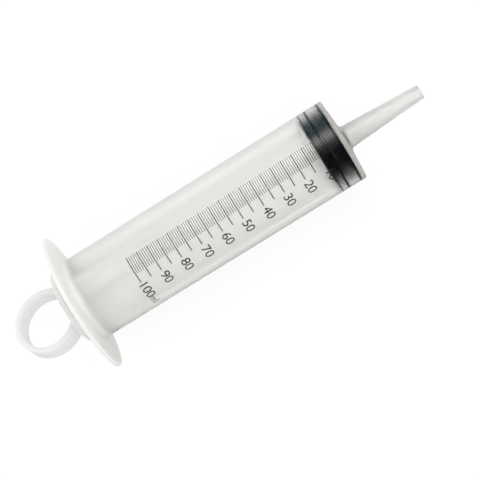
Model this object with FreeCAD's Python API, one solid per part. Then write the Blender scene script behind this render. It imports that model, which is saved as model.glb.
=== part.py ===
import FreeCAD, Part

import math
import os

Vector = FreeCAD.Vector

# A 100 ml catheter tip syringe lying on its side, with the plunger pushed home.
# Millimetres. The axis runs along X. The origin is the centre of the tip's mouth,
# +X points out of the mouth and +Z points up. The flange is widest along Y.

# Barrel tube
bore_radius = 17.6
barrel_wall = 1.6
tube_length = 136.4
rim_round = 0.3
rear_chamfer = 0.5

# Front wall, a shallow cone that rises to the root of the tip
front_wall = 1.6
front_rise = 1.0
inner_corner_round = 0.4

# Catheter tip
tip_length = 37.6
tip_root_radius = 5.25
tip_mouth_radius = 3.2
tip_root_fillet = 1.8
tip_mouth_round = 0.25
tip_wall_at_root = 1.3
tip_bore_radius = 2.0
tip_bore_land = 8.0

# Finger flange, an oval of two flat flanks and two round ends
flange_thickness = 2.0
flange_half_span = 32.8
flange_lip = 3.3
flange_end_radius = 13.0
flange_edge_round = 0.7
flange_root_fillet = 2.0

# Retaining bead that stops the stopper from being pulled out
bead_height = 0.45
bead_width = 2.4
bead_from_rear = 5.0

# Rubber stopper
stopper_length = 11.1
stopper_rib_height = 0.75
rib_crest_width = 1.0
rib_root_width = 1.9
middle_rib_from_rear = 4.15
rib_round = 0.15
stopper_nose_radius = 4.6
stopper_front_wall = 2.4
lip_length = 2.2
lip_radius = 10.5
lip_chamfer = 0.8
pocket_radius = 13.0
pocket_bevel = 3.0

# Plunger rod
shaft_radius = 16.9
shaft_rib_thickness = 1.8
push_disc_radius = 17.0
push_disc_thickness = 1.6
push_disc_round = 0.3
catch_thickness = 1.8
thumb_plate_radius = 17.7
thumb_plate_thickness = 2.0
thumb_plate_round = 0.6
thumb_plate_gap = 1.75

# Thumb ring, which stands a little to one side of the axis
ring_hole_radius = 12.55
ring_thickness = 2.55
ring_width = 8.7
ring_edge_round = 0.6
ring_sink = 2.7
ring_root_fillet = 1.5
ring_turn = 25.5
ring_offset = 0.75

# Clearances between pieces
seal_clearance = 0.05
home_clearance = 0.1
swivel_clearance = 0.05

# Places along the axis, worked out from the mouth of the tip backwards
outer_radius = bore_radius + barrel_wall
tip_root_x = -tip_length
front_rim_x = tip_root_x - front_rise
rear_x = front_rim_x - tube_length
flange_front_x = rear_x + flange_thickness
front_slope = front_rise / (outer_radius - tip_root_radius)
inner_rim_x = tip_root_x - front_wall - front_slope * (bore_radius - tip_root_radius)
stopper_front_x = inner_rim_x - home_clearance
stopper_rear_x = stopper_front_x - stopper_length
push_disc_x = stopper_rear_x - swivel_clearance
plate_front_x = rear_x - thumb_plate_gap
plate_rear_x = plate_front_x - thumb_plate_thickness
ring_outer_radius = ring_hole_radius + ring_thickness
ring_centre_x = plate_rear_x - ring_outer_radius + ring_sink

AXIS = Vector(1, 0, 0)
MATCH = 1e-4


def revolved(profile):
    """A solid of revolution about the axis, from a closed list of (x, radius) points."""
    points = [Vector(x, 0, radius) for x, radius in profile]
    face = Part.Face(Part.makePolygon(points + points[:1]))
    return face.revolve(Vector(0, 0, 0), AXIS, 360)


def circles_at(shape, places):
    """The circular edges about the axis that lie at the given (x, radius) places."""
    found = []
    for edge in shape.Edges:
        if not isinstance(edge.Curve, Part.Circle):
            continue
        for x, radius in places:
            same_x = abs(edge.Curve.Center.x - x) < MATCH
            if same_x and abs(edge.Curve.Radius - radius) < MATCH:
                found.append(edge)
    return found


def rounded(shape, radius, places):
    """The shape with the circular edges at the given places rounded."""
    return shape.makeFillet(radius, circles_at(shape, places))


def disc(rear, thickness, radius):
    """A round plate about the axis, from its rear face forwards."""
    return Part.makeCylinder(radius, thickness, Vector(rear, 0, 0), AXIS)


def flange_outline(x, inset):
    """The oval outline of the flange at x: flat flanks that run into round ends."""
    half_width = outer_radius + flange_lip - inset
    end_radius = flange_end_radius - inset
    end_centre = flange_half_span - flange_end_radius
    flank_radius = end_centre**2 + half_width**2 - end_radius**2
    flank_radius /= 2 * (half_width - end_radius)
    flank_drop = flank_radius - half_width
    share = flank_radius / (flank_radius - end_radius)
    join_y = end_centre * share
    join_z = flank_drop * (share - 1)
    end_y = end_centre + end_radius
    top = Part.Arc(Vector(x, -join_y, join_z), Vector(x, 0, half_width), Vector(x, join_y, join_z))
    left = Part.Arc(Vector(x, join_y, join_z), Vector(x, end_y, 0), Vector(x, join_y, -join_z))
    base = Part.Arc(Vector(x, join_y, -join_z), Vector(x, 0, -half_width), Vector(x, -join_y, -join_z))
    right = Part.Arc(Vector(x, -join_y, -join_z), Vector(x, -end_y, 0), Vector(x, -join_y, join_z))
    return Part.Face(Part.Wire([arc.toShape() for arc in (top, left, base, right)]))


def finger_flange():
    """The oval plate at the open end of the barrel, with its edges rounded."""
    plate = flange_outline(rear_x, 0).extrude(AXIS * flange_thickness)
    rims = []
    for edge in plate.Edges:
        start, end = (vertex.Point for vertex in edge.Vertexes)
        if abs(start.x - end.x) < MATCH:
            rims.append(edge)
    return plate.makeFillet(flange_edge_round, rims)


def flange_root():
    """The fillet between the flange and the tube, kept inside the rounded rim of the flange."""
    reach = flange_root_fillet
    corner = Vector(flange_front_x, 0, outer_radius)
    centre = corner + Vector(reach, 0, reach)
    middle = centre - Vector(1, 0, 1).normalize() * reach
    along = corner + Vector(reach, 0, 0)
    out = corner + Vector(0, 0, reach)
    under = Vector(0, 0, -barrel_wall / 2)
    wire = Part.Wire([
        Part.Arc(along, middle, out).toShape(),
        Part.makeLine(out, corner + under),
        Part.makeLine(corner + under, along + under),
        Part.makeLine(along + under, along),
    ])
    collar = Part.Face(wire).revolve(Vector(0, 0, 0), AXIS, 360)
    limit = flange_outline(flange_front_x, flange_edge_round).extrude(AXIS * reach)
    return collar.common(limit)


def barrel_skin():
    """The outside of the tube, front wall and tip as one turned solid."""
    skin = revolved([
        (0, 0),
        (0, tip_mouth_radius),
        (tip_root_x, tip_root_radius),
        (front_rim_x, outer_radius),
        (rear_x, outer_radius),
        (rear_x, 0),
    ])
    skin = rounded(skin, tip_root_fillet, [(tip_root_x, tip_root_radius)])
    skin = rounded(skin, rim_round, [(front_rim_x, outer_radius)])
    return rounded(skin, tip_mouth_round, [(0, tip_mouth_radius)])


def retaining_bead():
    """The low round bead inside the open end of the bore."""
    middle_x = rear_x + bead_from_rear
    half = bead_width / 2
    front = Vector(middle_x + half, 0, bore_radius)
    crest = Vector(middle_x, 0, bore_radius - bead_height)
    rear = Vector(middle_x - half, 0, bore_radius)
    sink = Vector(0, 0, barrel_wall / 2)
    wire = Part.Wire([
        Part.Arc(front, crest, rear).toShape(),
        Part.makeLine(rear, rear + sink),
        Part.makeLine(rear + sink, front + sink),
        Part.makeLine(front + sink, front),
    ])
    return Part.Face(wire).revolve(Vector(0, 0, 0), AXIS, 360)


def barrel_hollow():
    """The space inside the barrel: the bore, the conical front face and the way out of the tip."""
    past = barrel_wall
    tip_root_bore = tip_root_radius - tip_wall_at_root
    inner_root_x = inner_rim_x + front_slope * (bore_radius - tip_root_bore)
    hollow = revolved([
        (past, 0),
        (past, tip_bore_radius),
        (-tip_bore_land, tip_bore_radius),
        (inner_root_x, tip_root_bore),
        (inner_rim_x, bore_radius),
        (rear_x + rear_chamfer, bore_radius),
        (rear_x, bore_radius + rear_chamfer),
        (rear_x - past, bore_radius + rear_chamfer),
        (rear_x - past, 0),
    ])
    hollow = rounded(hollow, inner_corner_round, [(inner_rim_x, bore_radius)])
    return hollow.cut(retaining_bead())


def barrel():
    """The barrel as moulded: tube, front wall, catheter tip and finger flange in one."""
    solid = barrel_skin().fuse([finger_flange(), flange_root()])
    return solid.removeSplitter().cut(barrel_hollow())


def rib(middle_x):
    """The profile points of one sealing rib, from its rear root to its front root."""
    crest = bore_radius - seal_clearance
    root = crest - stopper_rib_height
    return [
        (middle_x - rib_root_width / 2, root),
        (middle_x - rib_crest_width / 2, crest),
        (middle_x + rib_crest_width / 2, crest),
        (middle_x + rib_root_width / 2, root),
    ]


def stopper():
    """The rubber stopper: three ribs, a conical nose and a pocket with an undercut lip."""
    half = rib_root_width / 2
    middles = (
        stopper_rear_x + half,
        stopper_rear_x + middle_rib_from_rear,
        stopper_front_x - half,
    )
    ribs = []
    for middle_x in middles:
        ribs += rib(middle_x)
    rim_radius = bore_radius - seal_clearance - stopper_rib_height
    nose_x = stopper_front_x + front_slope * (rim_radius - stopper_nose_radius)
    body = revolved([(stopper_rear_x, 0)] + ribs + [(nose_x, stopper_nose_radius), (nose_x, 0)])
    crests = [place for middle_x in middles for place in rib(middle_x)[1:3]]
    return rounded(body, rib_round, crests).cut(pocket(0))


def pocket(clearance):
    """The pocket in the stopper, or with a clearance the space that the snap head may fill."""
    mouth_x = stopper_rear_x - clearance
    lip_x = stopper_rear_x + lip_length + clearance
    deep_x = stopper_front_x - stopper_front_wall - clearance
    radius = pocket_radius - clearance
    throat = lip_radius - clearance
    flare = 0 if clearance else lip_chamfer
    return revolved([
        (mouth_x, 0),
        (mouth_x, throat + flare),
        (stopper_rear_x + flare, throat),
        (lip_x, throat),
        (lip_x, radius),
        (deep_x - pocket_bevel, radius),
        (deep_x, radius - pocket_bevel),
        (deep_x, 0),
    ])


def cross(rear, front, radius):
    """Two crossed ribs between two places on the axis, cut round to a radius."""
    length = front - rear
    half = shaft_rib_thickness / 2
    flat = Part.makeBox(length, 2 * radius, 2 * half, Vector(rear, -radius, -half))
    upright = Part.makeBox(length, 2 * half, 2 * radius, Vector(rear, -half, -radius))
    return flat.fuse(upright).common(disc(rear, length, radius))


def thumb_ring():
    """The flat band of the thumb ring, with its edges rounded, as far as the thumb plate."""
    low = -ring_width / 2
    centre = Vector(ring_centre_x, -ring_offset, low)
    band = Part.makeCylinder(ring_outer_radius, ring_width, centre, Vector(0, 0, 1))
    band = band.cut(Part.makeCylinder(ring_hole_radius, ring_width, centre, Vector(0, 0, 1)))
    rims = [edge for edge in band.Edges if isinstance(edge.Curve, Part.Circle)]
    band = band.makeFillet(ring_edge_round, rims)
    reach = 2 * ring_outer_radius
    middle_x = plate_rear_x + thumb_plate_thickness / 2
    behind = Part.makeBox(reach, 2 * reach, 2 * reach, Vector(middle_x - reach, -reach, -reach))
    return band.common(behind)


def ring_root():
    """The web that blends the thumb ring into the thumb plate, with a fillet on each side."""
    fillet = ring_root_fillet
    fillet_x = plate_rear_x - fillet
    reach = ring_outer_radius + fillet
    fillet_y = math.sqrt(reach**2 - (fillet_x - ring_centre_x) ** 2)
    centre = Vector(fillet_x, fillet_y, 0)
    on_plate = Vector(plate_rear_x, fillet_y, 0)
    inward = (Vector(ring_centre_x, 0, 0) - centre).normalize()
    on_ring = centre + inward * fillet
    middle = centre + (inward + AXIS).normalize() * fillet
    in_band = centre + inward * (fillet + ring_thickness / 2)
    in_plate = Vector(plate_rear_x + thumb_plate_thickness / 2, fillet_y, 0)

    def mirrored(point):
        return Vector(point.x, -point.y, point.z)

    wire = Part.Wire([
        Part.Arc(on_plate, middle, on_ring).toShape(),
        Part.makeLine(on_ring, in_band),
        Part.makeLine(in_band, mirrored(in_band)),
        Part.makeLine(mirrored(in_band), mirrored(on_ring)),
        Part.Arc(mirrored(on_ring), mirrored(middle), mirrored(on_plate)).toShape(),
        Part.makeLine(mirrored(on_plate), mirrored(in_plate)),
        Part.makeLine(mirrored(in_plate), in_plate),
        Part.makeLine(in_plate, on_plate),
    ])
    low = -ring_width / 2 + ring_edge_round
    web = Part.Face(wire).extrude(Vector(0, 0, -2 * low))
    web.translate(Vector(0, -ring_offset, low))
    hole_base = Vector(ring_centre_x, -ring_offset, low)
    hole = Part.makeCylinder(ring_hole_radius, -2 * low, hole_base, Vector(0, 0, 1))
    return web.cut(hole)


def snap_head():
    """The head inside the stopper: a crossed neck, a catch behind the lip and a front pad."""
    lip_x = stopper_rear_x + lip_length + swivel_clearance
    deep_x = stopper_front_x - stopper_front_wall - swivel_clearance
    catch = disc(lip_x, catch_thickness, pocket_radius)
    pad = disc(deep_x - catch_thickness, catch_thickness, pocket_radius)
    neck = cross(push_disc_x, deep_x, lip_radius)
    return neck.fuse([catch, pad]).common(pocket(swivel_clearance))


def plunger_rod():
    """The plunger rod as moulded, turned about its axis as it lies in the barrel."""
    push_disc_rear = push_disc_x - push_disc_thickness
    push_disc = disc(push_disc_rear, push_disc_thickness, push_disc_radius)
    push_disc = push_disc.makeFillet(
        push_disc_round,
        circles_at(push_disc, [(push_disc_rear, push_disc_radius), (push_disc_x, push_disc_radius)]),
    )
    plate = disc(plate_rear_x, thumb_plate_thickness, thumb_plate_radius)
    plate = rounded(
        plate,
        thumb_plate_round,
        [(plate_rear_x, thumb_plate_radius), (plate_front_x, thumb_plate_radius)],
    )
    shaft = cross(plate_front_x, push_disc_rear, shaft_radius)
    rod = shaft.fuse([plate, push_disc, snap_head(), thumb_ring(), ring_root()])
    rod = rod.removeSplitter()
    rod.rotate(Vector(0, 0, 0), AXIS, -ring_turn)
    return rod


def main():
    os.makedirs("parts", exist_ok=True)
    pieces = {"barrel": barrel(), "stopper": stopper(), "plunger_rod": plunger_rod()}
    for node, shape in pieces.items():
        box = shape.BoundBox
        print(
            node, "valid", shape.isValid(), "solids", len(shape.Solids),
            "volume %.1f" % shape.Volume,
            "x %.2f..%.2f y %.2f..%.2f z %.2f..%.2f"
            % (box.XMin, box.XMax, box.YMin, box.YMax, box.ZMin, box.ZMax),
        )
        shape.exportStep("parts/%s.step" % node)


main()
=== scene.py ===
import math

import bmesh
import bpy
from bpy.props import FloatProperty, FloatVectorProperty, IntProperty, PointerProperty
from mathutils import Matrix, Vector


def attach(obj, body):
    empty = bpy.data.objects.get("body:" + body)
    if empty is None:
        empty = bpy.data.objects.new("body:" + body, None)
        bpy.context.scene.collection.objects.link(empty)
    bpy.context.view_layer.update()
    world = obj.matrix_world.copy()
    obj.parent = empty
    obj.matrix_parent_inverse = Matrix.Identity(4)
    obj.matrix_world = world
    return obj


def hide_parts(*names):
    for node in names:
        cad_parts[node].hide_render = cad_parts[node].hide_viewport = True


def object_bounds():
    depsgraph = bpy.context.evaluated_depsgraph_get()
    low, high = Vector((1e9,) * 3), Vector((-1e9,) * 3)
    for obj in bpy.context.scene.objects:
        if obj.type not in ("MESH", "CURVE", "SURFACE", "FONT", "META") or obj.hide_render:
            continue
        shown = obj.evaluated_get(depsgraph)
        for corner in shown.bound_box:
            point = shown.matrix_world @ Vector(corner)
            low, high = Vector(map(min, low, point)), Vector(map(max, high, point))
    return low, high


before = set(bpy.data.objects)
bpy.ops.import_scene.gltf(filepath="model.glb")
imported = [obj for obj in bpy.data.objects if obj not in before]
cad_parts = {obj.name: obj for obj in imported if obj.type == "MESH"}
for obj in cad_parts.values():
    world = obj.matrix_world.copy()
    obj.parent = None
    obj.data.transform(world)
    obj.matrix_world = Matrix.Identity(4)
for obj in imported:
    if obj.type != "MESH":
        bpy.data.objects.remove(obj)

bl_info = {
    "name": "Catheter tip syringe",
    "version": (1, 0, 0),
    "blender": (4, 5, 0),
    "location": "View3D > Sidebar > Syringe",
    "description": "Dresses a 100 ml catheter tip syringe and sets its stage",
    "category": "Add Mesh",
}

MM = 0.001
WHITE = (1, 1, 1, 1)
CAD_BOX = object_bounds()

# Edges that turn further than this stay sharp
SHARP = math.radians(32)
# Steps of the arcs: small rounds, the barrel's fillets, the corners of its bore, the retaining bead
ARC_STEPS = 6
FILLET_STEPS = 10
CORNER_STEPS = 8
BEAD_STEPS = 12
# Rings of a turned shape stand no further apart than this, in metres like all sizes below
RING_GAP = 0.012
# A narrow band inside the mouth of the tip keeps its edge crisp
MOUTH_BAND = 0.0001
# Rounds of the moulded rubber: on the ribs, round the front face, in the pocket
RIB_ROUND = 0.0002
NOSE_ROUND = 0.002
POCKET_ROUND = 0.0005

# The scale's full volume, and how many ml lie between its long lines and between its numbers
FULL = 100
LONG_EVERY = 5
NUMBER_EVERY = 10
# How much higher the three-digit number starts, and where the unit starts, in digit pitches
LAST_HIGHER = 0.45
UNIT_START = 2.75
# The unit's height and pitch, as shares of the digits' own
UNIT_HEIGHT = 0.8
UNIT_PITCH = 0.9
# The built-in font's capitals are this share of its size, and its digits are drawn a little wider
CAP_HEIGHT = 0.73
WIDEN = 1.1
# The print is cut into strips of this width before it is bent round the barrel
STRIP = 0.0003

# The ends that a noise pattern keeps to
NOISE = (0.3, 0.7)
# Roughness from the smoothest to the roughest spot
HAZE = (0.285, 0.31)
SATIN_PLASTIC = (0.36, 0.48)
SATIN_RUBBER = (0.24, 0.3)
# Where the plastic turns thick or milky, along the axis from the mouth of the tip
FLANGE_THICK = (-0.1725, -0.169)
FLANGE_MILK = (-0.1715, -0.1665)
VEIL_REACH = (-0.17, -0.115)
TIP_THICK = (-0.0388, -0.034)
FRONT_WALL = (-0.0408, -0.0396)
# Where the rod's shaft starts to be painted paler than the thumb plate and ring, as painted light
SHAFT_PAINTED_PALER = (-0.178, -0.174)
# Where the front wall begins beside the root of the tip, out from the axis
FRONT_BRIM = (0.006, 0.0075)
# Share of the light that the plastic scatters: at the flange, in the wall near it, in the tip and
# in the front wall seen edge on
MILK_FLANGE = 0.92
MILK_VEIL = 0.11
MILK_TIP = 0.4
MILK_FRONT = 0.3
# Share of the thick plastic's tint that the tip takes
TIP_TINT = 0.5
# The darkest of the white plastic's faint clouds
CLOUD = (0.93, 0.93, 0.93, 1)
# How much paler the thinnest ink is
INK_GAIN = 2.2
INK_LIFT = 0.004

# Half the floor's side
TABLE_REACH = 4.0
# Strength of the table: seen, seen through clear plastic, seen by light turned back inside it, and
# as the light that it throws up
TABLE_SEEN = 0.86
TABLE_THROUGH = 1.2
TABLE_INSIDE = 1.1
TABLE_BOUNCE = 0.66
# Share of the floor's colour that keeps the shadow
TABLE_SHADE = 0.16
# The pool of light on the table in gloss: its two edges across, and the strength that each adds
POOL_NEAR, POOL_NEAR_LEVEL = (-0.04, 0.06), (0.2, 0.9)
POOL_FAR, POOL_FAR_LEVEL = (-0.3, -0.07), (-0.28, 0.0)
# Strength of the backdrop through clear plastic, and of what its scattered light finds
SKY_THROUGH = 1.2
SKY_INSIDE = 1.55
# The dome of soft light, from its sides to its top, by height
DOME_RISE, DOME_LEVEL = (0.72, 0.96), (1.17, 0.9)
# What gloss shows of the studio: the horizon by height, the window and the two ends by direction
HORIZON, HORIZON_LEVEL = (-0.02, 0.2), (0.2, 0.005)
WINDOW, WINDOW_LEVEL = (0.45, 0.75), (0.0, 0.5)
WINDOW_COLOUR = (0.45, 0.8, 0.95, 1)
ENDS, ENDS_LEVEL = (0.6, 0.9), (0.0, 0.6)
# The softbox and its bright middle: place, width, height and brightness
SOFTBOX = ((0.0, 0.36, 0.94), 0.45, 0.36, 2.3)
SOFTBOX_MIDDLE = ((0.0, 0.37, 0.93), 0.4, 0.2, 3.2)
LAMP_AIM = (-0.05, 0, 0)
# The camera's lens and sensor in millimetres, and where it stands and looks
LENS = 90
SENSOR = 36
CLIP = (0.01, 20)
CAMERA_PLACE = Vector((-0.0520175, -0.0615428, 0.5181944))
CAMERA_AXES = (
    (0.847272, -0.516108, -0.125552),
    (0.523295, 0.851598, 0.030714),
    (0.091068, -0.091724, 0.991611),
)


def linear(code):
    """The linear colour of an sRGB hex code."""
    out = []
    for place in (0, 2, 4):
        value = int(code[place:place + 2], 16) / 255
        out.append(value / 12.92 if value <= 0.04045 else ((value + 0.055) / 1.055) ** 2.4)
    return tuple(out)


def length(label, text, millimetres):
    """A size of the add-on, given in millimetres and kept in metres."""
    return FloatProperty(
        name=label, description=text, default=millimetres * MM, min=0,
        unit="LENGTH", precision=5,
    )


def angle(label, text, degrees):
    """An angle of the add-on, given in degrees."""
    return FloatProperty(
        name=label, description=text, default=math.radians(degrees), unit="ROTATION"
    )


def colour(label, text, code):
    """A colour of the add-on, given as an sRGB hex code."""
    return FloatVectorProperty(
        name=label, description=text, default=linear(code), size=3, min=0, max=1,
        subtype="COLOR",
    )


class BarrelSettings(bpy.types.PropertyGroup):
    """Sizes of the barrel, as the solids have them."""

    bore: length("Bore radius", "Inside radius of the tube", 17.6)
    wall: length("Wall", "Wall of the tube", 1.6)
    tube: length("Tube length", "From the front rim to the open end", 136.4)
    rim_round: length("Rim round", "Round on the front rim", 0.3)
    rear_chamfer: length("Rear chamfer", "Chamfer inside the open end", 0.5)
    front_wall: length("Front wall", "Thickness of the front wall", 1.6)
    front_rise: length("Front rise", "Height of the front wall's cone", 1.0)
    corner_round: length("Inner corner round", "Round between the bore and the front wall", 0.4)
    tip: length("Tip length", "Length of the catheter tip", 37.6)
    tip_root: length("Tip root radius", "Outside radius of the tip at its root", 5.25)
    tip_mouth: length("Tip mouth radius", "Outside radius of the tip at its mouth", 3.2)
    tip_fillet: length("Tip fillet", "Fillet between the tip and the front wall", 1.8)
    tip_round: length("Tip round", "Round on the mouth of the tip", 0.25)
    tip_wall: length("Tip wall", "Wall of the tip at its root", 1.3)
    tip_bore: length("Tip bore", "Inside radius at the mouth of the tip", 2.0)
    tip_land: length("Tip land", "Straight stretch of the tip's bore", 8.0)
    flange: length("Flange thickness", "Thickness of the finger flange", 2.0)
    flange_span: length("Flange half span", "Half of the flange's long side", 32.8)
    flange_lip: length("Flange lip", "How far the flange stands out above the tube", 3.3)
    flange_end: length("Flange end radius", "Radius of the flange's two ends", 13.0)
    flange_round: length("Flange round", "Round on the flange's edge", 0.7)
    flange_fillet: length("Flange fillet", "Fillet between the flange and the tube", 2.0)
    bead: length("Bead height", "Height of the retaining bead", 0.45)
    bead_width: length("Bead width", "Width of the retaining bead", 2.4)
    bead_place: length("Bead place", "From the open end to the middle of the bead", 5.0)
    segments: IntProperty(
        name="Segments", description="Faces round the barrel", default=288, min=48
    )


class StopperSettings(bpy.types.PropertyGroup):
    """Sizes of the stopper as it sits squeezed in the bore."""

    side: length("Side", "Length of the stopper's side", 11.1)
    home: length("Home gap", "Gap in front of the stopper", 0.1)
    squeeze: length("Squeeze", "How far the ribs press into the wall", 0.02)
    rib: length("Rib height", "Height of the sealing ribs", 0.45)
    crest: length("Rib crest", "Width of the front and middle ribs' crests", 1.0)
    crest_rear: length("Rear rib crest", "Width of the rear rib's crest", 0.45)
    root: length("Rib root", "Width of a rib's root", 1.9)
    middle: length("Middle rib", "From the rear face to the middle rib", 4.15)
    nose: length("Nose radius", "Radius of the flat middle of the front face", 4.6)
    front: length("Front wall", "Rubber in front of the pocket", 2.4)
    lip: length("Lip length", "Length of the pocket's lip", 2.2)
    throat: length("Lip radius", "Radius of the pocket's mouth", 10.5)
    pocket: length("Pocket radius", "Radius of the pocket", 13.0)
    bevel: length("Pocket bevel", "Bevel at the bottom of the pocket", 3.0)
    segments: IntProperty(
        name="Segments", description="Faces round the stopper", default=256, min=48
    )


class PrintSettings(bpy.types.PropertyGroup):
    """Sizes of the scale printed on the barrel."""

    zero: length("Zero line", "From the mouth of the tip back to the 0 ml line", 40.7)
    line: length("Line width", "Width of the 1 ml lines", 0.24)
    line_five: length("Long line width", "Width of the 5 ml lines", 0.42)
    start: angle("Line start", "Where the lines begin, from the top", -12.8)
    end: angle("Line end", "Where the 1 ml lines end", 11.6)
    end_five: angle("Long line end", "Where the 5 ml lines end", 24.2)
    twist: angle("Twist", "How far the print turns over the whole scale", 2.2)
    digits: length("Digit height", "Height of the numbers", 4.3)
    digits_start: angle("Number start", "Where the numbers begin", 27.7)
    digits_pitch: length("Digit pitch", "From one digit to the next", 3.05)
    digits_shift: length("Number shift", "How far the numbers sit towards the tip", 0.45)
    film: length("Ink film", "Height of the ink above the plastic", 0.02)


class LookSettings(bpy.types.PropertyGroup):
    """Colours of the syringe and its stage."""

    clear: colour("Clear plastic", "Tint of the barrel's thin wall", "FFFEFC")
    clear_thick: colour("Thick clear plastic", "Tint of the flange and, in part, the tip", "E8E7E3")
    clear_edge: colour("Clear plastic edge on", "Tint of the front wall, seen edge on", "DCD9D4")
    # Painted light: the rod's ribs are painted paler than the ring to make up for the shade inside
    # the barrel
    milky: colour("White plastic", "Colour of the rod's thin ribs", "FAFAF8")
    milky_thick: colour("Thick white plastic", "Colour of the thumb plate and ring", "D8D8D6")
    rubber: colour("Rubber", "Colour of the stopper", "040509")
    ink: colour("Ink", "Colour of the scale", "1B1C1E")
    floor: colour("Floor", "Colour of the floor", "F4F4F2")


def node(tree, kind, sockets=None, **settings):
    """Adds a shader node, sets its settings and sockets, and links it."""
    made = tree.nodes.new(kind)
    for key, value in settings.items():
        if hasattr(made, key):
            setattr(made, key, value)
        else:
            made.inputs[key.replace("_", " ")].default_value = value
    for socket, source in (sockets or {}).items():
        if isinstance(source, bpy.types.NodeSocket):
            tree.links.new(source, made.inputs[socket])
        else:
            made.inputs[socket].default_value = source
    return made


def span(source, target=(0.0, 1.0), kind="SMOOTHSTEP"):
    """Settings of a range: from the ends of one span to those of another."""
    return {
        "interpolation_type": kind,
        "From_Min": source[0], "From_Max": source[1],
        "To_Min": target[0], "To_Max": target[1],
    }


def spots(millimetres):
    """The scale of a pattern whose spots are this many millimetres wide."""
    return 1 / (millimetres * MM)


def material(name):
    """An empty node material and its output node."""
    made = bpy.data.materials.new(name)
    made.use_nodes = True
    made.node_tree.nodes.clear()
    out = made.node_tree.nodes.new("ShaderNodeOutputMaterial")
    return made, made.node_tree, out


def clear_polypropylene(look):
    """Injection-moulded natural polypropylene: clear, a little milky, with faint flow lines.

    It gives the eye a pale grey body, soft outlines behind it and a soft gloss on it.
    """
    made, tree, out = material("injection moulded clear polypropylene")
    place = node(tree, "ShaderNodeTexCoord")
    # Flow lines about 4 mm apart and 80 mm long run along the tube from the gate
    across, length_wise = spots(3.85), spots(83.3)
    flow = node(
        tree, "ShaderNodeMapping",
        {"Vector": place.outputs["Object"], "Scale": (length_wise, across, across)},
    )
    streaks = node(
        tree, "ShaderNodeTexNoise", {"Vector": flow.outputs[0]}, Scale=1.0, Detail=3.0,
    )
    haze = node(
        tree, "ShaderNodeMapRange", {"Value": streaks.outputs["Fac"]},
        **span(NOISE, HAZE, "LINEAR"),
    )
    swell = node(
        tree, "ShaderNodeBump", {"Height": streaks.outputs["Fac"]}, Strength=0.002, Distance=0.0001,
    )
    # The plastic is thick at the flange and along the tip, and looks milkier there
    along = node(tree, "ShaderNodeSeparateXYZ", {0: place.outputs["Object"]})
    solid, collar, veil, cone, cap = (
        node(tree, "ShaderNodeMapRange", {"Value": along.outputs["X"]}, **span(*ends)).outputs[0]
        for ends in (
            (FLANGE_THICK, (1.0, 0.0)),
            (FLANGE_MILK, (MILK_FLANGE, 0.0)),
            (VEIL_REACH, (MILK_VEIL, 0.0)),
            (TIP_THICK,),
            (FRONT_WALL,),
        )
    )
    rear = node(tree, "ShaderNodeMath", {0: collar, 1: veil}, operation="MAXIMUM")
    front = node(tree, "ShaderNodeMath", {0: cone, 1: MILK_TIP}, operation="MULTIPLY")
    both = node(
        tree, "ShaderNodeMath", {0: rear.outputs[0], 1: front.outputs[0]}, operation="MAXIMUM",
    )
    # The front wall is seen edge on beside the root of the tip, so it looks milky too
    flat = node(
        tree, "ShaderNodeCombineXYZ", {"Y": along.outputs["Y"], "Z": along.outputs["Z"]},
    )
    reach = node(tree, "ShaderNodeVectorMath", {0: flat.outputs[0]}, operation="LENGTH")
    brim = node(
        tree, "ShaderNodeMapRange", {"Value": reach.outputs["Value"]}, **span(FRONT_BRIM),
    )
    edge = node(tree, "ShaderNodeMath", {0: brim.outputs[0], 1: cap}, operation="MULTIPLY")
    pale = node(
        tree, "ShaderNodeMath", {0: edge.outputs[0], 1: MILK_FRONT}, operation="MULTIPLY",
    )
    milk = node(
        tree, "ShaderNodeMath", {0: both.outputs[0], 1: pale.outputs[0]}, operation="MAXIMUM",
    )
    clarity = node(tree, "ShaderNodeMath", {0: 1.0, 1: milk.outputs[0]}, operation="SUBTRACT")
    soft = node(tree, "ShaderNodeMath", {0: solid, 1: cone}, operation="MAXIMUM")
    thick = node(
        tree, "ShaderNodeMath", {0: cone, 1: TIP_TINT, 2: solid}, operation="MULTIPLY_ADD",
    )
    tint = node(
        tree, "ShaderNodeMix",
        {"Factor": thick.outputs[0], "A": (*look.clear, 1), "B": (*look.clear_thick, 1)},
        data_type="RGBA",
    )
    tint = node(
        tree, "ShaderNodeMix",
        {"Factor": edge.outputs[0], "A": tint.outputs["Result"], "B": (*look.clear_edge, 1)},
        data_type="RGBA",
    )
    body = node(
        tree, "ShaderNodeBsdfPrincipled",
        {
            "Base Color": tint.outputs["Result"],
            "Roughness": haze.outputs[0],
            "Normal": swell.outputs[0],
            "Transmission Weight": clarity.outputs[0],
            "Subsurface Weight": soft.outputs[0],
            "Subsurface Radius": (1.0, 1.0, 1.0),
        },
        IOR=1.49, Subsurface_Scale=0.006,
    )
    clear = node(tree, "ShaderNodeBsdfTransparent", {"Color": WHITE})
    rays = node(tree, "ShaderNodeLightPath")
    # Light from the lamps passes the wall straight, so the rod inside is lit without grain
    mix = node(
        tree, "ShaderNodeMixShader",
        {0: rays.outputs["Is Shadow Ray"], 1: body.outputs[0], 2: clear.outputs[0]},
    )
    tree.links.new(mix.outputs[0], out.inputs["Surface"])
    return made


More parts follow.
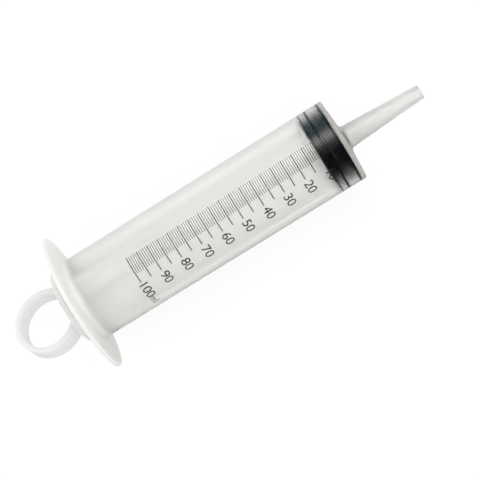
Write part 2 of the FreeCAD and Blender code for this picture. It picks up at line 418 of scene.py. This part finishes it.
def white_polypropylene(look):
    """Injection-moulded white polypropylene: milky and satin, with light through its thin ribs and
    painted light on them.
    """
    made, tree, out = material("injection moulded white polypropylene")
    place = node(tree, "ShaderNodeTexCoord")
    # Faint clouds about 11 mm wide
    cloud = node(
        tree, "ShaderNodeTexNoise", {"Vector": place.outputs["Object"]},
        Scale=spots(11.1), Detail=3.0,
    )
    # The thick thumb plate and ring pass less light on than the thin ribs of the shaft
    # Painted light: the shaft is also painted paler to make up for the shade of the barrel wall and
    # between its ribs
    along = node(tree, "ShaderNodeSeparateXYZ", {0: place.outputs["Object"]})
    thin = node(tree, "ShaderNodeMapRange", {"Value": along.outputs["X"]}, **span(SHAFT_PAINTED_PALER))
    base = node(
        tree, "ShaderNodeMix",
        {"Factor": thin.outputs[0], "A": (*look.milky_thick, 1), "B": (*look.milky, 1)},
        data_type="RGBA",
    )
    tint = node(
        tree, "ShaderNodeMix",
        {"Factor": cloud.outputs["Fac"], "A": base.outputs["Result"], "B": CLOUD},
        data_type="RGBA", blend_type="MULTIPLY",
    )
    # The grain of the eroded mould, drawn 0.4 mm wide so that it shows at all
    grain = node(
        tree, "ShaderNodeTexNoise", {"Vector": place.outputs["Object"]},
        Scale=spots(0.4), Detail=2.0,
    )
    satin = node(
        tree, "ShaderNodeMapRange", {"Value": grain.outputs["Fac"]},
        **span(NOISE, SATIN_PLASTIC, "LINEAR"),
    )
    fine = node(
        tree, "ShaderNodeBump", {"Height": grain.outputs["Fac"]}, Strength=0.15, Distance=0.00002,
    )
    body = node(
        tree, "ShaderNodeBsdfPrincipled",
        {
            "Base Color": tint.outputs["Result"],
            "Roughness": satin.outputs[0],
            "Normal": fine.outputs[0],
            "Subsurface Radius": (1.0, 1.0, 0.95),
        },
        IOR=1.49, Subsurface_Weight=0.95, Subsurface_Scale=0.02,
    )
    tree.links.new(body.outputs[0], out.inputs["Surface"])
    return made


def black_rubber(look):
    """Compression-moulded butyl rubber with a film of silicone oil: black, smooth and satin."""
    made, tree, out = material("moulded black butyl rubber")
    place = node(tree, "ShaderNodeTexCoord")
    # The oil lies in patches about 2.5 mm wide
    bloom = node(
        tree, "ShaderNodeTexNoise", {"Vector": place.outputs["Object"]},
        Scale=spots(2.5), Detail=4.0,
    )
    satin = node(
        tree, "ShaderNodeMapRange", {"Value": bloom.outputs["Fac"]},
        **span(NOISE, SATIN_RUBBER, "LINEAR"),
    )
    skin = node(
        tree, "ShaderNodeBump", {"Height": bloom.outputs["Fac"]}, Strength=0.03, Distance=0.00005,
    )
    body = node(
        tree, "ShaderNodeBsdfPrincipled",
        {
            "Base Color": (*look.rubber, 1),
            "Roughness": satin.outputs[0],
            "Normal": skin.outputs[0],
        },
        IOR=1.5, Specular_IOR_Level=0.08,
    )
    tree.links.new(body.outputs[0], out.inputs["Surface"])
    return made


def scale_ink(look):
    """Pad-printed black ink: matt, a little paler where the film is thin."""
    made, tree, out = material("printed black ink")
    place = node(tree, "ShaderNodeTexCoord")
    # Spots of the pad's film, about 0.3 mm wide
    film = node(
        tree, "ShaderNodeTexNoise", {"Vector": place.outputs["Object"]},
        Scale=spots(0.2857), Detail=2.0,
    )
    thin = (*[min(1, value * INK_GAIN + INK_LIFT) for value in look.ink], 1)
    shade = node(
        tree, "ShaderNodeMix", {"Factor": film.outputs["Fac"], "A": (*look.ink, 1), "B": thin},
        data_type="RGBA",
    )
    body = node(
        tree, "ShaderNodeBsdfPrincipled", {"Base Color": shade.outputs["Result"]}, Roughness=0.45,
    )
    tree.links.new(body.outputs[0], out.inputs["Surface"])
    return made


def rounded(corners, steps=ARC_STEPS):
    """Points of an outline whose (x, radius, round) corners are rounded by arcs."""
    points = []
    count = len(corners)
    for index, (x, y, size) in enumerate(corners):
        here = Vector((x, y))
        if size <= 0:
            points.append((x, y))
            continue
        before = (Vector(corners[index - 1][:2]) - here).normalized()
        after = (Vector(corners[(index + 1) % count][:2]) - here).normalized()
        half = before.angle(after) / 2
        reach = size / math.tan(half)
        centre = here + (before + after).normalized() * (size / math.sin(half))
        start = here + before * reach - centre
        end = here + after * reach - centre
        sweep = math.pi - 2 * half
        for step in range(steps + 1):
            turn = sweep * step / steps
            first, last = math.sin(sweep - turn), math.sin(turn)
            points.append(tuple(centre + (start * first + end * last) / math.sin(sweep)))
    return points


def turned(name, stations, segments, closed):
    """A mesh of rings about the axis. A station is (x, radius), or (x, a function of the angle)."""
    mesh = bmesh.new()
    rings = []
    for x, radius in stations:
        if not callable(radius) and radius <= 0:
            rings.append([mesh.verts.new((x, 0, 0))])
            continue
        ring = []
        for index in range(segments):
            turn = 2 * math.pi * index / segments
            reach = radius(turn) if callable(radius) else radius
            ring.append(mesh.verts.new((x, reach * math.cos(turn), reach * math.sin(turn))))
        rings.append(ring)
    pairs = list(zip(rings, rings[1:]))
    if closed:
        pairs.append((rings[-1], rings[0]))
    for first, second in pairs:
        for index in range(segments):
            other = (index + 1) % segments
            corners = []
            for ring, places in ((first, (index, other)), (second, (other, index))):
                for place in places:
                    vert = ring[place % len(ring)]
                    if vert not in corners:
                        corners.append(vert)
            if len(corners) > 2:
                mesh.faces.new(corners)
    bmesh.ops.recalc_face_normals(mesh, faces=mesh.faces)
    return finished(name, mesh)


def finished(name, mesh):
    """An object from a bmesh, shaded smooth up to sharp corners."""
    data = bpy.data.meshes.new(name)
    mesh.to_mesh(data)
    mesh.free()
    data.shade_smooth()
    data.set_sharp_from_angle(angle=SHARP)
    made = bpy.data.objects.new(name, data)
    bpy.context.scene.collection.objects.link(made)
    return made


def flange_radius(sizes, inset):
    """The flange's oval outline, drawn in by an inset, as a function of the angle from +Y."""
    half = sizes.bore + sizes.wall + sizes.flange_lip
    end = sizes.flange_end
    centre = sizes.flange_span - end
    flank = (centre**2 + half**2 - end**2) / (2 * (half - end))
    drop = flank - half
    join = math.atan2(drop * end / (flank - end), centre + centre * end / (flank - end))

    def radius(turn):
        side, rise = abs(math.cos(turn)), abs(math.sin(turn))
        if math.atan2(rise, side) < join:
            return centre * side + math.sqrt((end - inset) ** 2 - (centre * rise) ** 2)
        return -drop * rise + math.sqrt((flank - inset) ** 2 - (drop * side) ** 2)

    return radius


def barrel_stations(sizes):
    """The barrel's rings, from the mouth of the tip over the outside and back through the bore."""
    outer = sizes.bore + sizes.wall
    root_x = -sizes.tip
    rim_x = root_x - sizes.front_rise
    rear_x = rim_x - sizes.tube
    flange_x = rear_x + sizes.flange
    slope = sizes.front_rise / (outer - sizes.tip_root)
    inner_rim_x = root_x - sizes.front_wall - slope * (sizes.bore - sizes.tip_root)
    root_bore = sizes.tip_root - sizes.tip_wall
    inner_root_x = inner_rim_x + slope * (sizes.bore - root_bore)
    # The last corner only gives the flange's fillet its direction, and isn't kept
    outside = rounded([
        (0, sizes.tip_bore, 0),
        (0, sizes.tip_mouth, sizes.tip_round),
        (root_x, sizes.tip_root, sizes.tip_fillet),
        (rim_x, outer, sizes.rim_round),
        (flange_x, outer, sizes.flange_fillet),
        (flange_x, outer + 1.5 * sizes.flange_fillet, 0),
    ], FILLET_STEPS)[:-1]
    edge = sizes.flange_round
    arc = [math.pi / 2 * step / ARC_STEPS for step in range(ARC_STEPS + 1)]
    flange = [
        (flange_x - edge * (1 - math.cos(turn)), flange_radius(sizes, edge * (1 - math.sin(turn))))
        for turn in arc
    ] + [
        (rear_x + edge * (1 - math.sin(turn)), flange_radius(sizes, edge * (1 - math.cos(turn))))
        for turn in arc
    ]
    bead_x = rear_x + sizes.bead_place
    half = sizes.bead_width / 2
    ball = (half**2 + sizes.bead**2) / (2 * sizes.bead)
    inside = [
        (rear_x, sizes.bore + sizes.rear_chamfer),
        (rear_x + sizes.rear_chamfer, sizes.bore),
    ]
    for step in range(BEAD_STEPS + 1):
        shift = -half + 2 * half * step / BEAD_STEPS
        rise = math.sqrt(ball**2 - shift**2) - (ball - sizes.bead)
        inside.append((bead_x + shift, sizes.bore - rise))
    front = rounded([
        (bead_x + half, sizes.bore, 0),
        (inner_rim_x, sizes.bore, sizes.corner_round),
        (inner_root_x, root_bore, 0),
        (-sizes.tip_land, sizes.tip_bore, 0),
        (-MOUTH_BAND, sizes.tip_bore, 0),
    ], CORNER_STEPS)
    return spread(outside) + flange + inside + spread(front[1:])


def spread(points):
    """The points with more set between those that are far apart, for even faces."""
    out = [points[0]]
    for (x0, y0), (x1, y1) in zip(points, points[1:]):
        parts = max(1, math.ceil(math.hypot(x1 - x0, y1 - y0) / RING_GAP))
        for part in range(1, parts + 1):
            out.append((x0 + (x1 - x0) * part / parts, y0 + (y1 - y0) * part / parts))
    return out


class SYRINGE_OT_barrel(bpy.types.Operator):
    """Builds the clear barrel with its tip and finger flange"""

    bl_idname = "syringe.barrel"
    bl_label = "Barrel"

    def execute(self, context):
        sizes, look = context.scene.syringe_barrel, context.scene.syringe_look
        made = turned("barrel_shell", barrel_stations(sizes), sizes.segments, True)
        made.data.materials.append(clear_polypropylene(look))
        level = made.modifiers.new("Weighted normals", "WEIGHTED_NORMAL")
        level.keep_sharp = True
        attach(made, "barrel")
        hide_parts("barrel")
        return {"FINISHED"}


class SYRINGE_OT_stopper(bpy.types.Operator):
    """Builds the rubber stopper, squeezed into the bore"""

    bl_idname = "syringe.stopper"
    bl_label = "Stopper"

    def execute(self, context):
        tube, sizes = context.scene.syringe_barrel, context.scene.syringe_stopper
        slope = tube.front_rise / (tube.bore + tube.wall - tube.tip_root)
        inner_rim_x = -tube.tip - tube.front_wall - slope * (tube.bore - tube.tip_root)
        front_x = inner_rim_x - sizes.home
        rear_x = front_x - sizes.side
        crest = tube.bore + sizes.squeeze
        root = crest - sizes.rib
        corners = [(rear_x, sizes.throat, 0)]
        ribs = (
            (sizes.root / 2, sizes.crest_rear),
            (sizes.middle, sizes.crest),
            (sizes.side - sizes.root / 2, sizes.crest),
        )
        for middle, flat in ribs:
            flanks = (
                (-1, sizes.root, root), (-1, flat, crest), (1, flat, crest), (1, sizes.root, root),
            )
            for side, width, radius in flanks:
                corners.append((rear_x + middle + side * width / 2, radius, RIB_ROUND))
        nose_x = front_x + slope * (root - sizes.nose)
        deep_x = front_x - sizes.front
        corners += [
            (nose_x, sizes.nose, NOSE_ROUND),
            (nose_x, 0, 0),
            (deep_x, 0, 0),
            (deep_x, sizes.pocket - sizes.bevel, POCKET_ROUND),
            (deep_x - sizes.bevel, sizes.pocket, POCKET_ROUND),
            (rear_x + sizes.lip, sizes.pocket, 0),
            (rear_x + sizes.lip, sizes.throat, POCKET_ROUND),
        ]
        outline = rounded(corners)
        split = outline.index((nose_x, 0)) + 1
        stations = outline[split:] + outline[:split]
        made = turned("stopper_rubber", stations, sizes.segments, False)
        made.data.materials.append(black_rubber(context.scene.syringe_look))
        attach(made, "seal")
        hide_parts("stopper")
        return {"FINISHED"}


class SYRINGE_OT_rod(bpy.types.Operator):
    """Gives the plunger rod its white plastic"""

    bl_idname = "syringe.rod"
    bl_label = "Plunger rod"

    def execute(self, context):
        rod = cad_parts["plunger_rod"]
        finish = white_polypropylene(context.scene.syringe_look)
        if not rod.material_slots:
            rod.data.materials.append(finish)
        for place in rod.material_slots:
            place.material = finish
        return {"FINISHED"}


def wrapped(mesh, radius):
    """Bends flat (x, arc length) points round the barrel, from the top towards -Y."""
    arcs = [vert.co.y for vert in mesh.verts]
    place = math.floor(min(arcs) / STRIP) * STRIP
    while place < max(arcs):
        every = mesh.verts[:] + mesh.edges[:] + mesh.faces[:]
        bmesh.ops.bisect_plane(mesh, geom=every, plane_co=(0, place, 0), plane_no=(0, 1, 0))
        place += STRIP
    for vert in mesh.verts:
        turn = vert.co.y / radius
        vert.co = (vert.co.x, -radius * math.sin(turn), radius * math.cos(turn))


def lettering(words, height, pitch):
    """A flat bmesh of words, one character after another, tops towards +X, reading towards +Y."""
    mesh = bmesh.new()
    for index, letter in enumerate(words):
        text = bpy.data.curves.new("letter", "FONT")
        text.body = letter
        text.align_x = "CENTER"
        text.size = 1.0
        holder = bpy.data.objects.new("letter", text)
        bpy.context.scene.collection.objects.link(holder)
        bpy.context.view_layer.update()
        shaped = holder.evaluated_get(bpy.context.evaluated_depsgraph_get())
        flat = bpy.data.meshes.new_from_object(shaped)
        flat.transform(Matrix.Scale(height / CAP_HEIGHT, 4))
        flat.transform(Matrix.Scale(WIDEN, 4, Vector((1, 0, 0))))
        flat.transform(Matrix.Translation((pitch * (index + 0.5), 0, 0)))
        mesh.from_mesh(flat)
        bpy.data.objects.remove(holder)
        bpy.data.curves.remove(text)
        bpy.data.meshes.remove(flat)
    for vert in mesh.verts:
        vert.co = (vert.co.y, vert.co.x, 0)
    return mesh


def set_down(words, x, arc, target):
    """Moves a flat bmesh of words to its place on the unrolled barrel and adds it to the target."""
    bmesh.ops.translate(words, verts=words.verts, vec=(x, arc, 0))
    holder = bpy.data.meshes.new("words")
    words.to_mesh(holder)
    words.free()
    target.from_mesh(holder)
    bpy.data.meshes.remove(holder)


class SYRINGE_OT_scale(bpy.types.Operator):
    """Prints the scale and its numbers on the barrel"""

    bl_idname = "syringe.scale"
    bl_label = "Printed scale"

    def execute(self, context):
        tube, sizes = context.scene.syringe_barrel, context.scene.syringe_print
        outer = tube.bore + tube.wall
        radius = outer + sizes.film
        millilitre = 1e-6 / (math.pi * tube.bore**2)
        lines = bmesh.new()
        for volume in range(FULL + 1):
            x = -sizes.zero - volume * millilitre
            long = volume % LONG_EVERY == 0
            half = (sizes.line_five if long else sizes.line) / 2
            turn = sizes.twist * volume / FULL
            start = (sizes.start + turn) * outer
            end = ((sizes.end_five if long else sizes.end) + turn) * outer
            corners = [(x - half, start), (x + half, start), (x + half, end), (x - half, end)]
            lines.faces.new([lines.verts.new((*corner, 0)) for corner in corners])
        wrapped(lines, radius)
        marks = finished("scale_lines", lines)
        numbers = bmesh.new()
        for volume in range(NUMBER_EVERY, FULL + 1, NUMBER_EVERY):
            x = -sizes.zero - volume * millilitre + sizes.digits_shift - sizes.digits / 2
            arc = (sizes.digits_start + sizes.twist * volume / FULL) * outer
            # The three-digit number begins a little higher, to leave room for the unit
            higher = LAST_HIGHER * sizes.digits_pitch * (volume // FULL)
            number = lettering(str(volume), sizes.digits, sizes.digits_pitch)
            set_down(number, x, arc - higher, numbers)
        unit = lettering("ml", sizes.digits * UNIT_HEIGHT, sizes.digits_pitch * UNIT_PITCH)
        set_down(unit, x, arc + UNIT_START * sizes.digits_pitch, numbers)
        wrapped(numbers, radius)
        digits = finished("scale_numbers", numbers)
        ink = scale_ink(context.scene.syringe_look)
        for piece in (marks, digits):
            piece.data.materials.append(ink)
            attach(piece, "barrel")
        return {"FINISHED"}


def lamp(name, place, wide, tall, brightness):
    """A rectangular soft lamp that faces the syringe, unseen by the camera and through plastic."""
    data = bpy.data.lights.new(name, "AREA")
    data.shape = "RECTANGLE"
    data.size, data.size_y = wide, tall
    data.energy = brightness * math.pi * wide * tall
    made = bpy.data.objects.new(name, data)
    made.location = place
    made.rotation_euler = (Vector(LAMP_AIM) - Vector(place)).to_track_quat("-Z", "Y").to_euler()
    made.visible_camera = False
    made.visible_transmission = False
    bpy.context.scene.collection.objects.link(made)
    return made


def backdrop_rays(tree):
    """Light Path, and which rays pass straight through plastic, show the backdrop, or are gloss."""
    rays = node(tree, "ShaderNodeLightPath")
    straight = node(
        tree, "ShaderNodeMath", {0: rays.outputs["Glossy Depth"], 1: 0.5}, operation="LESS_THAN",
    )
    through = node(
        tree, "ShaderNodeMath",
        {0: rays.outputs["Is Transmission Ray"], 1: straight.outputs[0]}, operation="MULTIPLY",
    )
    seen = node(
        tree, "ShaderNodeMath",
        {0: rays.outputs["Is Camera Ray"], 1: through.outputs[0]}, operation="MAXIMUM",
    )
    gloss = node(
        tree, "ShaderNodeMath",
        {0: rays.outputs["Is Glossy Ray"], 1: rays.outputs["Is Transmission Ray"]},
        operation="MAXIMUM",
    )
    return rays, through.outputs[0], seen.outputs[0], gloss.outputs[0]


def white_table(look):
    """A matt white table: it looks plain and pale, keeps the shadow and throws soft light up."""
    made, tree, out = material("white table")
    rays, through, seen, gloss = backdrop_rays(tree)
    # In gloss the table is a pool of light that fades away from the window side
    place = node(tree, "ShaderNodeTexCoord")
    split = node(tree, "ShaderNodeSeparateXYZ", {0: place.outputs["Object"]})
    near = node(
        tree, "ShaderNodeMapRange", {"Value": split.outputs["Y"]},
        **span(POOL_NEAR, POOL_NEAR_LEVEL),
    )
    far = node(
        tree, "ShaderNodeMapRange", {"Value": split.outputs["Y"]}, **span(POOL_FAR, POOL_FAR_LEVEL),
    )
    pool = node(tree, "ShaderNodeMath", {0: near.outputs[0], 1: far.outputs[0]}, operation="ADD")
    # Light turned back inside the plastic shows the backdrop again
    deep = node(
        tree, "ShaderNodeMath", {0: rays.outputs["Transmission Depth"], 1: 0.5},
        operation="GREATER_THAN",
    )
    pool = node(
        tree, "ShaderNodeMix",
        {"Factor": deep.outputs[0], "A": pool.outputs[0], "B": TABLE_INSIDE},
    )
    bounce = node(
        tree, "ShaderNodeMix", {"Factor": gloss, "A": TABLE_BOUNCE, "B": pool.outputs["Result"]},
    )
    plain = node(
        tree, "ShaderNodeMix", {"Factor": through, "A": TABLE_SEEN, "B": TABLE_THROUGH},
    )
    share = node(
        tree, "ShaderNodeMix",
        {"Factor": seen, "A": bounce.outputs["Result"], "B": plain.outputs["Result"]},
    )
    shade = (*[TABLE_SHADE * value for value in look.floor], 1)
    dull = node(tree, "ShaderNodeBsdfDiffuse", {"Color": shade})
    glow = node(tree, "ShaderNodeEmission", {"Strength": share.outputs["Result"]})
    both = node(tree, "ShaderNodeAddShader", {0: dull.outputs[0], 1: glow.outputs[0]})
    tree.links.new(both.outputs[0], out.inputs["Surface"])
    # The shader tells rays apart, so the rays find its light, and it isn't sampled as a lamp
    made.cycles.emission_sampling = "NONE"
    return made


def studio():
    """A white backdrop where rays show it, a soft dome for matt surfaces and a studio in gloss."""
    world = bpy.data.worlds.new("studio")
    world.use_nodes = True
    # As with the table, the rays find the light
    world.cycles.sampling_method = "NONE"
    tree = world.node_tree
    tree.nodes.clear()
    out = node(tree, "ShaderNodeOutputWorld")
    rays, through, seen, gloss = backdrop_rays(tree)
    # Through clear plastic the backdrop is brighter, and most for light scattered inside it
    deep = node(
        tree, "ShaderNodeMath", {0: rays.outputs["Diffuse Depth"], 1: 0.5},
        operation="GREATER_THAN",
    )
    inside = node(
        tree, "ShaderNodeMix", {"Factor": deep.outputs[0], "A": SKY_THROUGH, "B": SKY_INSIDE},
    )
    level = node(
        tree, "ShaderNodeMix", {"Factor": through, "A": 1.0, "B": inside.outputs["Result"]},
    )
    white = node(
        tree, "ShaderNodeBackground", {"Color": WHITE, "Strength": level.outputs["Result"]},
    )
    # The soft light comes from all round, less from straight above where the camera stands
    place = node(tree, "ShaderNodeTexCoord")
    split = node(tree, "ShaderNodeSeparateXYZ", {0: place.outputs["Generated"]})
    dome = node(
        tree, "ShaderNodeMapRange", {"Value": split.outputs["Z"]}, **span(DOME_RISE, DOME_LEVEL),
    )
    matt = node(tree, "ShaderNodeBackground", {"Color": WHITE, "Strength": dome.outputs[0]})
    # Gloss shows a pale strip along the horizon, a cool window to one side and dark above
    rim = node(
        tree, "ShaderNodeMapRange", {"Value": split.outputs["Z"]}, **span(HORIZON, HORIZON_LEVEL),
    )
    side = node(
        tree, "ShaderNodeMapRange", {"Value": split.outputs["Y"]}, **span(WINDOW, WINDOW_LEVEL),
    )
    # The studio's two ends, beyond the tip and the ring, are pale
    long = node(tree, "ShaderNodeMath", {0: split.outputs["X"]}, operation="ABSOLUTE")
    ends = node(
        tree, "ShaderNodeMapRange", {"Value": long.outputs[0]}, **span(ENDS, ENDS_LEVEL),
    )
    pale = node(tree, "ShaderNodeMath", {0: rim.outputs[0], 1: ends.outputs[0]}, operation="ADD")
    walls = node(tree, "ShaderNodeBackground", {"Color": WHITE, "Strength": pale.outputs[0]})
    window = node(
        tree, "ShaderNodeBackground", {"Color": WINDOW_COLOUR, "Strength": side.outputs[0]},
    )
    room = node(tree, "ShaderNodeAddShader", {0: walls.outputs[0], 1: window.outputs[0]})
    light = node(
        tree, "ShaderNodeMixShader", {0: gloss, 1: matt.outputs[0], 2: room.outputs[0]},
    )
    mix = node(tree, "ShaderNodeMixShader", {0: seen, 1: light.outputs[0], 2: white.outputs[0]})
    tree.links.new(mix.outputs[0], out.inputs["Surface"])
    return world


class SYRINGE_OT_stage(bpy.types.Operator):
    """Sets the pale floor, the soft lamps, the surroundings and the camera"""

    bl_idname = "syringe.stage"
    bl_label = "Stage"

    def execute(self, context):
        scene = context.scene
        low = CAD_BOX[0].z
        data = bpy.data.meshes.new("floor")
        corners = ((-1, -1), (1, -1), (1, 1), (-1, 1))
        data.from_pydata(
            [(x * TABLE_REACH, y * TABLE_REACH, low) for x, y in corners], [], [(0, 1, 2, 3)],
        )
        floor = bpy.data.objects.new("floor", data)
        scene.collection.objects.link(floor)
        data.materials.append(white_table(scene.syringe_look))
        scene.world = studio()
        # Two lamps in one place make a softbox that is brightest in its middle
        lamp("softbox", *SOFTBOX)
        lamp("softbox middle", *SOFTBOX_MIDDLE).visible_diffuse = False

        view = bpy.data.cameras.new("camera")
        view.sensor_width = SENSOR
        view.lens = LENS
        view.clip_start, view.clip_end = CLIP
        camera = bpy.data.objects.new("camera", view)
        scene.collection.objects.link(camera)
        turned_to = Matrix(CAMERA_AXES).transposed().to_4x4()
        camera.matrix_world = Matrix.Translation(CAMERA_PLACE) @ turned_to
        scene.camera = camera
        scene.view_settings.view_transform = "Standard"
        return {"FINISHED"}


class SYRINGE_PT_panel(bpy.types.Panel):
    """Lists the pieces of the syringe"""

    bl_label = "Catheter tip syringe"
    bl_idname = "SYRINGE_PT_panel"
    bl_space_type = "VIEW_3D"
    bl_region_type = "UI"
    bl_category = "Syringe"

    def draw(self, context):
        column = self.layout.column(align=True)
        for operator in OPERATORS:
            column.operator(operator.bl_idname)
        for group in GROUPS:
            box = self.layout.box()
            settings = getattr(context.scene, group)
            for key in settings.__annotations__:
                box.prop(settings, key)


OPERATORS = (
    SYRINGE_OT_barrel,
    SYRINGE_OT_stopper,
    SYRINGE_OT_rod,
    SYRINGE_OT_scale,
    SYRINGE_OT_stage,
)
GROUPS = {
    "syringe_barrel": BarrelSettings,
    "syringe_stopper": StopperSettings,
    "syringe_print": PrintSettings,
    "syringe_look": LookSettings,
}


def register():
    for made in (*GROUPS.values(), *OPERATORS, SYRINGE_PT_panel):
        bpy.utils.register_class(made)
    for name, group in GROUPS.items():
        setattr(bpy.types.Scene, name, PointerProperty(type=group))


def unregister():
    for name in GROUPS:
        delattr(bpy.types.Scene, name)
    for made in (SYRINGE_PT_panel, *reversed(OPERATORS), *reversed(tuple(GROUPS.values()))):
        bpy.utils.unregister_class(made)


def main():
    register()
    for operator in OPERATORS:
        family, name = operator.bl_idname.split(".")
        getattr(getattr(bpy.ops, family), name)()


if __name__ == "__main__":
    main()
